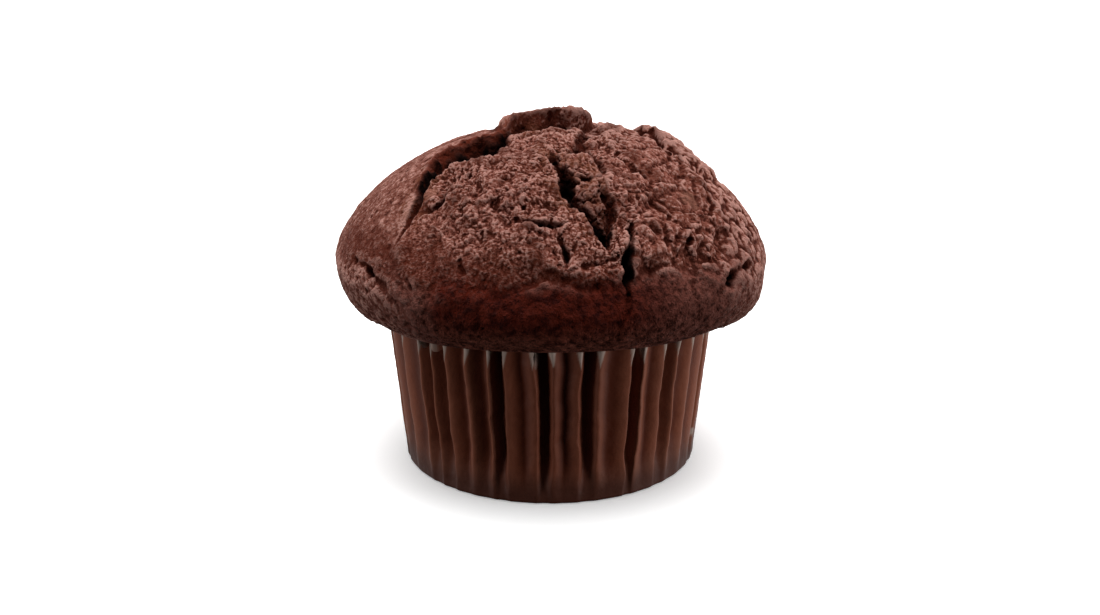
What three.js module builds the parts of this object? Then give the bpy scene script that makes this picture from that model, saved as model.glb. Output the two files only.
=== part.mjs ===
// A chocolate muffin in its pleated paper baking case.
//
// Millimetres, +Z up. The origin is the centre of the flat underside of the case, and the front is -Y.
// Two solids: the cake, from the stem that fills the case up to the risen and split cap, and the case.
//
// The cap's relief is laid out on a flat map of its crust. A point of the map is (x, y) in millimetres:
// its distance from (0, 0) is the length along the crust from the top of the cap, and its direction is
// the direction that it lies in, seen from above. The front is at negative y.

import * as THREE from "three";

// ---------------------------------------------------------------- driving dimensions

const CASE_BASE_RADIUS = 25;
const CASE_TAPER = THREE.MathUtils.degToRad(6);
const CASE_CORNER_CUT = 0.5; // a slanted edge all round the underside
const CASE_PAPER = 0.5;

const RIM_HEIGHT = 26.5; // the top edge of the paper wall, on average round the case
const RIM_WAVE = 1.2; // how far it is higher at the front and back, and lower at the sides

const CAP_RADIUS = 36.3;
const CAP_WIDEST_HEIGHT = 35.7;
const DOME_HEIGHT = 55.9; // the top of the cap before its relief
const DOME_RISE_POWER = 1.36;
const DOME_ROUND_POWER = 2.5;
const UNDERSIDE_DROP_POWER = 2.3;
const UNDERSIDE_ROUND_POWER = 1.12;

const CLEARANCE = 0.35; // between the cake and the paper

// Pleats, as the widths in degrees of the panels from one outer fold to the next. The front ones are
// set one by one, and the rest follow an even rule with a little seeded unevenness.
const FIRST_FRONT_FOLD = -62;
const FRONT_PLEAT_WIDTHS = [11, 6.5, 7, 8.5, 8, 6, 10, 6, 9, 7, 11, 4.5, 9.5, 7, 9, 10];
const PLEAT_COUNT = 44;
const PLEAT_UNEVENNESS = 0.22;
const PLEAT_PAPER_WIDTH = 4.9; // paper in one pleat, measured along its two faces
const PLEAT_MAX_DEPTH = 1.8;
const PLEAT_MIN_DEPTH = 0.2;
const PLEAT_BOTTOM_SHARE = 0.25; // of a pleat's depth, where it ends at the base
const PLEAT_FADE_HEIGHT = 7; // above this the pleats have most of their depth
const PLEAT_WALL_SHARE = 0.85; // of a pleat's depth at that height, growing to all of it at the rim

// ---------------------------------------------------------------- the cap's relief, on the crust map

// Broad swells and hollows: x, y, radius, height.
const SWELLS = [
  [-17, 3, 9, -0.8],
  [17, 4, 5, 0.9],
  [14, -15, 8, 0.7],
  [-8, -20, 9, 0.7],
  [0, -33, 8, 0.5],
  [34, -30, 9, 0.7],
  [-30, 28, 14, 0.6],
  [22, 30, 12, -0.6],
  [52, -22, 8, 4.4],
  [-52, -22, 8, 1.6],
];

// Cracks, each a route of points x, y, half width, depth of the gap, and height of the raised crust
// along its left-hand side, seen walking along the route. The outer crust is split from the burst
// middle from the front left up to the top, where its edge stands up as a flap that ends at the right.
const CRUST_SPLIT = [
  [-27.2, -25.6, 0.8, 0.2, 0.0],
  [-23.6, -19.3, 1.0, 1.6, 0.5],
  [-19.3, -12.8, 1.3, 2.8, 0.9],
  [-14.5, -8.6, 1.8, 3.8, 1.1],
  [-10.5, -5.0, 1.8, 4.0, 0.9],
  [-8.0, -0.8, 1.4, 3.0, 1.5],
  [-4.5, 1.0, 1.0, 1.6, 2.7],
  [0.0, 1.8, 1.0, 1.4, 3.2],
  [4.6, 1.4, 1.0, 1.4, 3.2],
  [6.6, 2.6, 1.0, 1.4, 2.8],
  [7.6, 5.2, 0.9, 1.0, 2.0],
  [8.2, 8.4, 0.8, 0.5, 0.8],
  [8.6, 11.0, 0.8, 0.2, 0.0],
];
const CENTRE_CRACK = [
  [-0.5, -8.5, 1.0, 0.4, 0.0],
  [1.2, -14.6, 1.3, 2.8, 0.3],
  [1.6, -19.6, 1.5, 3.6, 0.3],
  [4.6, -24.2, 1.4, 2.6, 0.2],
  [8.4, -29.6, 1.7, 3.8, 0.2],
  [10.8, -32.0, 1.0, 0.4, 0.0],
];
const FRONT_SLOT = [
  [12.6, -25.6, 0.9, 0.3, 0.0],
  [12.9, -31.4, 1.1, 2.4, 0.2],
  [13.3, -35.4, 1.1, 2.4, 0.2],
  [13.8, -41.0, 0.9, 0.9, 0.1],
  [14.8, -52.0, 1.1, 0.9, 0.0],
];
const LEFT_SLOT = [
  [-36.4, -16.6, 0.9, 0.3, 0.0],
  [-34.6, -22.0, 1.0, 1.0, 0.2],
  [-32.8, -25.9, 1.3, 2.6, 0.3],
  [-30.8, -30.6, 1.0, 0.9, 0.1],
  [-28.6, -37.0, 1.2, 0.3, 0.0],
];
const RIGHT_SLOT = [
  [31.4, -37.0, 1.2, 0.3, 0.0],
  [31.6, -31.0, 1.0, 0.9, 0.1],
  [33.2, -26.2, 1.3, 2.6, 0.3],
  [36.2, -20.4, 1.0, 1.0, 0.2],
  [38.0, -15.0, 0.9, 0.3, 0.0],
];
const RIGHT_SPLIT = [
  [11.0, 11.0, 0.8, 0.3, 0.0],
  [14.6, 6.4, 0.9, 1.0, 0.9],
  [18.6, 0.0, 0.9, 0.9, 0.8],
  [22.0, -8.0, 0.8, 0.3, 0.0],
];
const CRACKS = [CRUST_SPLIT, CENTRE_CRACK, FRONT_SLOT, LEFT_SLOT, RIGHT_SLOT, RIGHT_SPLIT];
const LIP_REACH = 7; // how far back from a crack its raised crust settles down again

// Crags: bumps on the burst middle and right of the cap, none on the smooth left and on the rim.
const CRAG_SIZE = 3.4;
const CRAG_HEIGHT = 0.9;
const CRAG_CENTRE = [4, -15];
const CRAG_REACH = 27;
const CRUST_WAVE_SIZE = 9;
const CRUST_WAVE_HEIGHT = 0.5;

// ---------------------------------------------------------------- mesh fineness

const CAKE_ANGLES = 104;
const FRONT_CROWDING = 0.35; // how much closer the angles lie at the front than on average
const DOME_ROWS = 34;
const UNDERSIDE_ROWS = 7;
const STEM_ROWS = 4;
const CASE_WALL_SHARES = [0, 0.11, 0.25, 0.5, 0.75, 1];
const MERIDIAN_SAMPLES = 240;

// ---------------------------------------------------------------- small helpers

const TIE_BREAK = 1e-4; // millimetres, far less than any real difference

const smoothStep = (low, high, value) => THREE.MathUtils.smoothstep(value, low, high);
const mix = THREE.MathUtils.lerp;

function seededRandom(seed) {
  let state = seed >>> 0;
  return () => {
    state = (Math.imul(state, 1664525) + 1013904223) >>> 0;
    return state / 4294967296;
  };
}

// A repeatable random number from 0 to 1 for a whole-numbered place on a grid.
function latticeRandom(ix, iy) {
  let h = (Math.imul(ix, 374761393) + Math.imul(iy, 668265263)) | 0;
  h = Math.imul(h ^ (h >>> 13), 1274126177);
  return ((h ^ (h >>> 16)) >>> 0) / 4294967296;
}

// Smooth noise from -1 to 1 on the crust map.
function mapNoise(x, y, size) {
  const u = x / size;
  const v = y / size;
  const iu = Math.floor(u);
  const iv = Math.floor(v);
  const fu = smoothStep(0, 1, u - iu);
  const fv = smoothStep(0, 1, v - iv);
  const near = mix(latticeRandom(iu, iv), latticeRandom(iu + 1, iv), fu);
  const far = mix(latticeRandom(iu, iv + 1), latticeRandom(iu + 1, iv + 1), fu);
  return 2 * mix(near, far, fv) - 1;
}

// A closed lathed body whose vertices are each put in place by their row and angle. Rows run from the
// bottom of the axis, round the outside, to the end of the axis.
function shapedLathe(rowCount, angleCount, place) {
  const profile = [];
  for (let row = 0; row < rowCount; row++) {
    const onAxis = row === 0 || row === rowCount - 1;
    profile.push(new THREE.Vector2(onAxis ? 0 : 1, row));
  }
  const geometry = new THREE.LatheGeometry(profile, angleCount);
  const position = geometry.getAttribute("position");
  for (let angle = 0; angle <= angleCount; angle++) {
    for (let row = 0; row < rowCount; row++) {
      const point = place(row, angle % angleCount);
      position.setXYZ(angle * rowCount + row, point.x, point.y, point.z);
    }
  }
  geometry.computeVertexNormals();
  return geometry;
}

// The point at a distance from the axis, in the direction of an azimuth that starts at the front.
function around(radius, azimuth, height) {
  return new THREE.Vector3(radius * Math.sin(azimuth), -radius * Math.cos(azimuth), height);
}

// ---------------------------------------------------------------- the paper case

const caseRadius = (height) => CASE_BASE_RADIUS + Math.tan(CASE_TAPER) * height;
const rimHeight = (azimuth) => RIM_HEIGHT + RIM_WAVE * Math.cos(2 * azimuth);

// The azimuths of the outer folds, once round.
function pleatFolds() {
  const random = seededRandom(7);
  const frontWidth = FRONT_PLEAT_WIDTHS.reduce((sum, width) => sum + width, 0);
  const restCount = PLEAT_COUNT - FRONT_PLEAT_WIDTHS.length;
  const restWidths = [];
  for (let i = 0; i < restCount; i++) {
    const alternate = i % 2 ? 1 : -1;
    restWidths.push(1 + PLEAT_UNEVENNESS * (alternate + random() - 0.5));
  }
  const restTotal = restWidths.reduce((sum, width) => sum + width, 0);
  const scale = (360 - frontWidth) / restTotal;
  const widths = FRONT_PLEAT_WIDTHS.concat(restWidths.map((width) => width * scale));
  const folds = [];
  let azimuth = FIRST_FRONT_FOLD;
  for (const width of widths) {
    folds.push({ azimuth: THREE.MathUtils.degToRad(azimuth), width: THREE.MathUtils.degToRad(width) });
    azimuth += width;
  }
  return folds;
}

// A pleat of a given width folds as deep as its paper reaches: a narrow pleat is deep, a wide one flat.
function pleatDepth(width) {
  const halfChord = (width * caseRadius(RIM_HEIGHT)) / 2;
  const halfPaper = PLEAT_PAPER_WIDTH / 2;
  const depth = Math.sqrt(Math.max(0, halfPaper * halfPaper - halfChord * halfChord));
  return THREE.MathUtils.clamp(depth, PLEAT_MIN_DEPTH, PLEAT_MAX_DEPTH);
}

// The share of a pleat's depth that it has at a height.
function pleatShare(height) {
  const rise = smoothStep(0, PLEAT_FADE_HEIGHT, height);
  return rise < 1
    ? mix(PLEAT_BOTTOM_SHARE, PLEAT_WALL_SHARE, rise)
    : mix(PLEAT_WALL_SHARE, 1, (height - PLEAT_FADE_HEIGHT) / (RIM_HEIGHT - PLEAT_FADE_HEIGHT));
}

function paperCase() {
  const folds = pleatFolds();
  const azimuthOf = (angle) => {
    const fold = folds[angle >> 1];
    return fold.azimuth + (angle % 2 ? fold.width / 2 : 0);
  };
  const depthOf = (angle, height) => {
    const depth = angle % 2 ? pleatDepth(folds[angle >> 1].width) : 0;
    return depth * pleatShare(height);
  };
  // Each row is a radius inwards from the outer wall, and a height that is fixed or a share of the wall.
  const rows = [{ axis: 0 }, { inset: CASE_CORNER_CUT, height: 0 }];
  for (const share of CASE_WALL_SHARES) {
    rows.push({ inset: 0, share, low: CASE_CORNER_CUT });
  }
  for (const share of CASE_WALL_SHARES.toReversed()) {
    rows.push({ inset: CASE_PAPER, share, low: CASE_CORNER_CUT + CASE_PAPER });
  }
  rows.push({ inset: CASE_CORNER_CUT + CASE_PAPER, height: CASE_PAPER }, { axis: CASE_PAPER });
  return shapedLathe(rows.length, 2 * folds.length, (index, angle) => {
    const row = rows[index];
    const azimuth = azimuthOf(angle);
    if (row.axis !== undefined) {
      return new THREE.Vector3(0, 0, row.axis);
    }
    const height = row.height ?? mix(row.low, rimHeight(azimuth), row.share);
    return around(caseRadius(height) - row.inset - depthOf(angle, height), azimuth, height);
  });
}

// ---------------------------------------------------------------- the cake

// The half section of the cap, from its top to where it meets the rim of the paper, with the length
// along the crust at each point.
function capMeridian() {
  const dome = (share) => {
    const radius = CAP_RADIUS * (1 - share ** DOME_RISE_POWER) ** (1 / DOME_ROUND_POWER);
    return { radius, height: mix(CAP_WIDEST_HEIGHT, DOME_HEIGHT, share) };
  };
  const startRadius = caseRadius(RIM_HEIGHT);
  const underside = (share) => {
    const swell = (1 - share ** UNDERSIDE_DROP_POWER) ** (1 / UNDERSIDE_ROUND_POWER);
    const radius = mix(startRadius, CAP_RADIUS, swell);
    return { radius, height: mix(CAP_WIDEST_HEIGHT, RIM_HEIGHT, share) };
  };
  const points = [];
  for (let i = 0; i <= MERIDIAN_SAMPLES; i++) {
    points.push(dome(1 - (i / MERIDIAN_SAMPLES) ** 2));
  }
  const widest = points.length - 1;
  for (let i = 1; i <= MERIDIAN_SAMPLES; i++) {
    points.push(underside(i / MERIDIAN_SAMPLES));
  }
  let length = 0;
  points.forEach((point, i) => {
    if (i > 0) {
      length += Math.hypot(point.radius - points[i - 1].radius, point.height - points[i - 1].height);
    }
    point.length = length;
  });
  return { points, domeLength: points[widest].length, length };
}

// The point of the section at a length along the crust, and the outward direction there.
function sectionAt(meridian, length) {
  const { points } = meridian;
  let next = points.findIndex((point) => point.length >= length);
  next = THREE.MathUtils.clamp(next, 1, points.length - 1);
  const from = points[next - 1];
  const to = points[next];
  const share = (length - from.length) / (to.length - from.length);
  const run = new THREE.Vector2(to.radius - from.radius, to.height - from.height).normalize();
  return {
    radius: mix(from.radius, to.radius, share),
    height: mix(from.height, to.height, share),
    outRadius: length === 0 ? 0 : -run.y,
    outHeight: length === 0 ? 1 : run.x,
  };
}

// How a crack shapes the crust at a point of the map: its gap, and the raised crust on its left.
function crackRelief(route, x, y) {
  let nearest = null;
  for (let i = 1; i < route.length; i++) {
    const [ax, ay] = route[i - 1];
    const [bx, by] = route[i];
    const dx = bx - ax;
    const dy = by - ay;
    const share = THREE.MathUtils.clamp(((x - ax) * dx + (y - ay) * dy) / (dx * dx + dy * dy), 0, 1);
    const away = Math.hypot(x - ax - share * dx, y - ay - share * dy);
    const side = (dx * (y - ay) - dy * (x - ax)) / Math.hypot(dx, dy);
    // Past a bend two stretches are equally near, and the one that faces the point squarely counts.
    const rank = away - TIE_BREAK * Math.abs(side);
    if (!nearest || rank < nearest.rank) {
      nearest = { rank, away, share, onLeft: side > 0, from: route[i - 1], to: route[i] };
    }
  }
  const { away, share, onLeft, from, to } = nearest;
  const [halfWidth, depth, lip] = [2, 3, 4].map((k) => mix(from[k], to[k], share));
  const gap = -depth * (1 - smoothStep(0.2 * halfWidth, 1.8 * halfWidth, away));
  const beyond = Math.max(0, away - halfWidth);
  const edge = smoothStep(0, 1.2 * halfWidth, away);
  const raised = onLeft ? lip * edge * Math.exp(-((beyond / LIP_REACH) ** 2)) : 0;
  return gap + raised;
}

// The height of the crust above the plain dome, at a point of the map.
function capRelief(x, y) {
  let height = 0;
  for (const [sx, sy, radius, swell] of SWELLS) {
    height += swell * Math.exp(-((x - sx) ** 2 + (y - sy) ** 2) / (radius * radius));
  }
  for (const crack of CRACKS) {
    height += crackRelief(crack, x, y);
  }
  const fromCrags = Math.hypot(x - CRAG_CENTRE[0], y - CRAG_CENTRE[1]);
  const craggy = 1 - smoothStep(0.75 * CRAG_REACH, CRAG_REACH, fromCrags);
  height += craggy * CRAG_HEIGHT * 0.5 * mapNoise(x, y, CRAG_SIZE);
  return height + 0.5 * CRUST_WAVE_HEIGHT * mapNoise(x + 50, y + 50, CRUST_WAVE_SIZE);
}

function cake() {
  const meridian = capMeridian();
  const floor = CASE_PAPER + CLEARANCE;
  const stemInset = (height) => PLEAT_MAX_DEPTH * pleatShare(height) + CASE_PAPER + CLEARANCE;

  // Rows, from the middle of the underside to the top of the cap.
  const rows = [{ axis: floor }, { stem: 0, inset: CASE_CORNER_CUT }];
  for (let i = 0; i <= STEM_ROWS; i++) {
    rows.push({ stem: i / STEM_ROWS, inset: 0, lift: i === 0 ? CASE_CORNER_CUT : 0 });
  }
  for (let i = 0; i < UNDERSIDE_ROWS; i++) {
    const share = i / UNDERSIDE_ROWS;
    rows.push({ length: mix(meridian.length, meridian.domeLength, share) });
  }
  for (let i = 0; i <= DOME_ROWS; i++) {
    rows.push({ length: meridian.domeLength * (1 - i / DOME_ROWS) });
  }

  return shapedLathe(rows.length, CAKE_ANGLES, (index, angle) => {
    const row = rows[index];
    const turn = (2 * Math.PI * angle) / CAKE_ANGLES;
    const azimuth = turn - FRONT_CROWDING * Math.sin(turn);
    if (row.axis !== undefined) {
      return new THREE.Vector3(0, 0, row.axis);
    }
    const rimLift = rimHeight(azimuth) - RIM_HEIGHT + CLEARANCE;
    if (row.stem !== undefined) {
      const height = mix(floor, RIM_HEIGHT + rimLift, row.stem) + (row.lift ?? 0);
      return around(caseRadius(height) - stemInset(height) - row.inset, azimuth, height);
    }
    const section = sectionAt(meridian, row.length);
    const x = row.length * Math.sin(azimuth);
    const y = -row.length * Math.cos(azimuth);
    const atRim = smoothStep(meridian.domeLength, meridian.length, row.length);
    const relief = capRelief(x, y) * (1 - atRim);
    return around(
      section.radius + relief * section.outRadius,
      azimuth,
      section.height + relief * section.outHeight + rimLift * atRim,
    );
  });
}

// ---------------------------------------------------------------- the muffin

function namedMesh(name, geometry, color, roughness) {
  const material = new THREE.MeshStandardMaterial({ color, roughness, metalness: 0 });
  const mesh = new THREE.Mesh(geometry, material);
  mesh.name = name;
  return mesh;
}

const muffin = new THREE.Group();
muffin.add(namedMesh("cake", cake(), 0x5a3128, 0.9));
muffin.add(namedMesh("paper_case", paperCase(), 0x3c1f16, 0.55));

export default muffin;
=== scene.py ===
import math
from itertools import product

import bpy
import numpy as np
from mathutils import Matrix, Vector


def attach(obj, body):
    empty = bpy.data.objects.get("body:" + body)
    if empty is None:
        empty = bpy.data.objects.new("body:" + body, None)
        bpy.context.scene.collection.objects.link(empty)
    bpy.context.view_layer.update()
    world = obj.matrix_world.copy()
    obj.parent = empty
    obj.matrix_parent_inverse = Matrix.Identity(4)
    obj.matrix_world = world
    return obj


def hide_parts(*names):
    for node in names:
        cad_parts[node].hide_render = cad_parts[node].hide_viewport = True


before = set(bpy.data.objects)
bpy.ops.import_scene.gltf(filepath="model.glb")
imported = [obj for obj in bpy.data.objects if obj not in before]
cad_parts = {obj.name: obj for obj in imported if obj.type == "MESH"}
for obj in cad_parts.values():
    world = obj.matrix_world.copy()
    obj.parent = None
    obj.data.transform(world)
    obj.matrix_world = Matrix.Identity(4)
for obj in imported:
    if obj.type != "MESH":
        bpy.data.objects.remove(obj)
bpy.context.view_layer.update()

MM = 0.001

# ---------------------------------------------------------------- sizes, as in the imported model

CASE_BASE_RADIUS = 25.0
CASE_SLOPE = math.tan(math.radians(6))
CASE_PAPER = 0.5
RIM_HEIGHT = 26.5
RIM_WAVE = 1.2
CLEARANCE = 0.35

CAP_RADIUS = 36.3
CAP_WIDEST_HEIGHT = 35.7
DOME_HEIGHT = 55.9
DOME_RISE_POWER = 1.36
DOME_ROUND_POWER = 2.5
UNDERSIDE_DROP_POWER = 2.3
UNDERSIDE_ROUND_POWER = 1.12

FIRST_FRONT_FOLD = -62.0
FRONT_PLEAT_WIDTHS = (11, 6.5, 7, 8.5, 8, 6, 10, 6, 9, 7, 11, 4.5, 9.5, 7, 9, 10)
PLEAT_COUNT = 44
PLEAT_UNEVENNESS = 0.22
PLEAT_PAPER_WIDTH = 4.9
PLEAT_MAX_DEPTH = 1.8
PLEAT_BOTTOM_SHARE = 0.25
PLEAT_FADE_HEIGHT = 7.0
PLEAT_WALL_SHARE = 0.85

# ---------------------------------------------------------------- the cap's relief, on the crust map

# Broad swells and hollows: x, y, radius, height.
SWELLS = (
    (-17, 3, 9, -0.8),
    (17, 4, 5, 0.9),
    (14, -15, 8, 0.7),
    (-8, -20, 9, 0.7),
    (0, -33, 8, 0.5),
    (34, -30, 9, 0.7),
    (-30, 28, 14, 0.6),
    (22, 30, 12, -0.6),
    (4.7, -16.2, 2.3, 1.4),
    (6.2, -21.6, 1.8, 1.0),
    (7.7, -25.2, 1.5, 1.0),
    (23.4, -16.4, 1.8, 0.9),
    (-19.6, -17.4, 1.7, 0.6),
    (52, -22, 8, 4.4),
    (-52, -22, 8, 1.6),
)

# Cracks, each a route of points x, y, half width, depth of the gap, and height of the raised crust
# along its left-hand side, seen walking along the route.
CRUST_SPLIT = (
    (-27.2, -25.6, 0.15, 0.2, 0.1),
    (-25.0, -22.2, 0.25, 1.2, 0.2),
    (-22.6, -18.0, 0.35, 1.6, 0.4),
    (-20.7, -14.2, 0.9, 2.8, 0.6),
    (-18.4, -10.8, 2.1, 4.2, 0.9),
    (-15.4, -8.0, 3.5, 5.4, 1.2),
    (-12.0, -5.8, 4.3, 6.0, 1.4),
    (-9.4, -4.2, 3.2, 5.0, 1.3),
    (-7.8, -1.6, 1.5, 3.0, 1.1),
    (-6.2, 0.0, 0.9, 1.2, 1.0),
    (-3.6, 1.0, 0.7, 0.6, 0.9),
    (0.0, 1.4, 0.6, 0.9, 0.9),
    (3.6, 1.2, 0.7, 0.6, 0.9),
    (5.8, 2.2, 0.7, 0.8, 0.8),
    (7.2, 5.0, 0.6, 0.6, 0.5),
    (8.0, 9.0, 0.5, 0.2, 0.0),
)
CENTRE_CRACK = (
    (0.0, -12.4, 0.3, 0.3, 0.0),
    (0.4, -14.4, 0.8, 1.8, 0.0),
    (1.4, -16.8, 0.8, 1.3, 0.0),
    (2.1, -18.8, 1.1, 2.6, 0.0),
    (2.4, -20.6, 1.3, 3.2, 0.0),
    (2.8, -22.6, 1.1, 2.4, 0.0),
    (4.2, -24.6, 1.0, 2.0, 0.0),
    (6.0, -26.4, 0.9, 1.8, 0.0),
    (7.2, -28.2, 1.1, 2.4, 0.0),
    (8.4, -29.6, 1.5, 4.2, 0.0),
    (9.0, -30.6, 1.4, 5.0, 0.0),
    (9.5, -31.6, 0.9, 3.4, 0.0),
    (9.9, -32.8, 0.4, 0.5, 0.0),
)
FRONT_SLOT = (
    (13.1, -26.6, 0.3, 0.4, 0.0),
    (13.0, -29.4, 0.5, 2.6, 0.2),
    (12.8, -31.8, 0.3, 1.0, 0.2),
    (12.9, -34.2, 0.6, 3.8, 0.2),
    (13.2, -36.4, 0.6, 3.8, 0.2),
    (13.6, -38.2, 0.3, 1.2, 0.3),
    (13.9, -40.0, 0.4, 0.6, 0.4),
    (14.1, -44.0, 0.5, 0.3, 0.4),
    (14.4, -50.0, 0.5, 0.1, 0.3),
    (14.8, -54.0, 0.3, 0.1, 0.0),
)
LEFT_SLOT = (
    (-36.8, -18.2, 0.3, 0.2, 0.0),
    (-36.4, -19.4, 0.5, 1.5, 0.1),
    (-35.8, -20.6, 0.3, 0.2, 0.1),
    (-34.5, -23.2, 0.4, 0.5, 0.2),
    (-33.5, -25.2, 1.1, 3.8, 0.3),
    (-32.7, -26.9, 0.4, 0.5, 0.2),
    (-31.0, -31.0, 0.9, 0.25, 0.1),
    (-28.8, -36.0, 0.9, 0.1, 0.0),
)
RIGHT_SLOT = (
    (29.0, -36.0, 0.9, 0.1, 0.0),
    (31.0, -31.6, 0.9, 0.25, 0.1),
    (32.4, -28.4, 0.4, 0.6, 0.1),
    (33.2, -26.6, 1.1, 3.8, 0.2),
    (34.4, -24.4, 0.4, 0.5, 0.2),
    (35.7, -21.6, 0.3, 0.2, 0.1),
    (36.4, -20.4, 0.5, 1.5, 0.1),
    (37.0, -19.0, 0.3, 0.2, 0.0),
)
RIGHT_SPLIT = (
    (11.0, 11.0, 0.4, 0.2, 0.0),
    (14.6, 6.4, 0.5, 0.4, 0.7),
    (18.6, 0.0, 0.4, 0.4, 0.7),
    (20.4, -5.0, 0.4, 0.3, 0.3),
    (22.0, -8.0, 0.4, 0.2, 0.0),
)
# The torn crumb's lower edge, over the smooth band of crust below it.
RIGHT_SHELF = (
    (30.6, -27.6, 1.0, 0.1, 0.0),
    (27.4, -29.8, 1.2, 0.4, 0.0),
    (23.4, -31.0, 0.9, 0.6, 0.0),
    (19.4, -31.8, 1.3, 0.5, 0.0),
    (16.0, -34.6, 1.0, 0.5, 0.0),
    (14.2, -36.6, 0.5, 0.3, 0.0),
)
LEFT_SHELF = (
    (11.6, -38.2, 0.5, 0.2, 0.0),
    (7.6, -39.6, 0.8, 0.4, 0.0),
    (3.2, -38.8, 0.9, 0.8, 0.1),
    (-0.6, -38.4, 0.8, 0.7, 0.1),
    (-5.0, -39.8, 0.8, 0.4, 0.0),
    (-9.0, -40.8, 0.6, 0.3, 0.0),
    (-13.0, -41.2, 0.5, 0.1, 0.0),
)
LEFT_POCKET = (
    (-21.8, -20.0, 0.3, 0.2, 0.0),
    (-19.4, -20.9, 0.5, 1.2, 0.3),
    (-17.6, -20.2, 0.6, 1.5, 0.3),
    (-16.6, -17.6, 0.4, 0.6, 0.0),
)
# Short cracks in the torn crumb and on the back. Each starts with its one height of raised crust.
SHORT_CRACKS = (
    (0.0, (6.0, 0.8, 0.8, 0.8), (5.0, -4.5, 1.2, 1.3), (4.7, -9.0, 1.1, 1.0), (3.4, -12.6, 0.9, 1.1)),
    (0.0, (4.7, -9.0, 0.8, 0.9), (7.4, -12.6, 1.1, 1.3), (8.6, -16.8, 0.7, 0.6)),
    (0.3, (-6.0, -28.9, 0.3, 0.3), (-1.4, -30.4, 0.5, 1.7), (1.0, -30.0, 0.4, 1.2), (3.8, -28.8, 0.3, 0.4)),
    (0.1, (1.4, -32.2, 0.3, 0.6), (1.9, -33.2, 0.35, 2.0), (2.5, -35.2, 0.4, 2.2), (2.6, -36.4, 0.3, 0.4)),
    (0.2, (3.4, -37.4, 0.3, 0.3), (5.4, -36.2, 0.4, 0.6), (9.0, -35.2, 0.4, 0.6), (11.6, -34.0, 0.3, 0.4)),
    (0.1, (23.6, -24.6, 0.3, 0.3), (23.4, -26.4, 0.4, 1.4), (22.9, -28.4, 0.3, 0.4)),
    (0.3, (26.2, -11.6, 0.3, 0.3), (28.0, -14.0, 0.4, 1.0), (27.2, -17.0, 0.4, 0.7), (24.2, -19.4, 0.3, 0.3)),
    (0.1, (19.0, -7.6, 0.3, 0.3), (19.4, -9.6, 0.4, 0.7), (18.8, -11.4, 0.3, 0.3)),
    (0.2, (13.6, -13.6, 0.3, 0.3), (14.5, -15.6, 0.4, 1.0), (16.4, -16.6, 0.3, 0.3)),
    (0.0, (25.8, -31.8, 0.1, 0.3), (25.6, -33.8, 0.15, 1.2)),
    (0.0, (-25.8, -32.0, 0.1, 0.5), (-25.4, -34.0, 0.12, 1.2)),
    (0.0, (-14.9, -33.0, 0.3, 0.5), (-15.1, -35.0, 0.4, 1.0)),
    (0.2, (8.2, -20.0, 0.3, 0.3), (9.4, -22.4, 0.6, 1.0), (10.4, -25.6, 0.6, 1.2), (10.2, -28.6, 0.6, 1.6)),
    (0.1, (4.0, -19.0, 0.4, 0.5), (6.4, -18.8, 0.5, 0.9), (8.4, -18.0, 0.4, 0.4)),
    (0.1, (5.0, -24.0, 0.4, 0.6), (7.0, -23.4, 0.4, 0.7), (9.2, -23.6, 0.4, 0.4)),
    (0.2, (14.0, -20.0, 0.3, 0.3), (17.2, -20.6, 0.4, 0.7), (20.0, -22.4, 0.3, 0.3)),
    (0.3, (-12.0, 12.0, 0.3, 0.2), (-16.0, 18.0, 0.4, 0.9), (-19.0, 25.0, 0.4, 0.8), (-26.0, 31.0, 0.3, 0.2)),
    (0.3, (12.0, 16.0, 0.3, 0.2), (10.0, 23.0, 0.4, 0.9), (14.0, 30.0, 0.4, 0.8), (12.0, 37.0, 0.3, 0.2)),
    (0.2, (30.0, 10.0, 0.3, 0.2), (31.0, 17.0, 0.4, 0.8), (36.0, 22.0, 0.3, 0.2)),
)
CRACKS = (
    CRUST_SPLIT, CENTRE_CRACK, FRONT_SLOT, LEFT_SLOT, RIGHT_SLOT, RIGHT_SPLIT, RIGHT_SHELF, LEFT_SHELF,
    LEFT_POCKET, *([(*point, lip) for point in route] for lip, *route in SHORT_CRACKS),
)
# The ravine to the right of the centre crack: its outline, and its depth at its upper and its lower end.
RAVINE_OUTLINE = (
    (0.2, -12.4), (1.0, -17.0), (1.4, -20.4), (1.8, -23.2), (4.6, -25.8), (6.4, -28.8), (8.4, -31.6),
    (9.8, -31.6), (10.6, -29.0), (10.8, -26.0), (9.6, -22.4), (8.8, -20.0), (8.6, -14.0), (6.0, -10.5),
    (3.4, -11.0),
)
RAVINE_DEPTHS = (0.7, 1.9)
# How far back from a crack its raised crust reaches, and how far the highest of it hangs over.
LIP_REACH = 7.0
LIP_OVERHANG = 1.5
# Past a route's corner two of its stretches are equally near, and the one the point is beside counts.
TIE_BREAK = 1e-4
# The raised flap of crust at the top: its outline, its height, how wide its arch is, how soft its edge is
# and how far back it sinks into the crust.
FLAP_OUTLINE = (
    (-7.4, -0.4), (-5.0, 0.8), (0.0, 1.5), (4.0, 1.3), (6.2, 2.6), (7.2, 5.4), (6.8, 10.0), (0.0, 16.0),
    (-7.0, 16.0), (-9.4, 9.0), (-8.8, 3.0),
)
FLAP_HEIGHT = 2.8
FLAP_SPAN = 10.5
FLAP_EDGE = 0.8
FLAP_REACH = 8.0
# A small flake of crust that stands up at the right of the flap.
FLAKE_OUTLINE = (
    (14.8, 5.6), (18.4, 1.6), (22.4, -3.4), (26.0, -3.0), (24.0, 4.0), (19.4, 10.0), (15.4, 10.6),
)
FLAKE_HEIGHT = 0.8
FLAKE_EDGE = 0.45

# Smooth, pale lumps of crust in the crumb: x, y, radius.
PALE_LUMPS = (
    (23.4, -16.4, 1.5),
    (-19.7, -17.4, 1.3),
)

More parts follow.
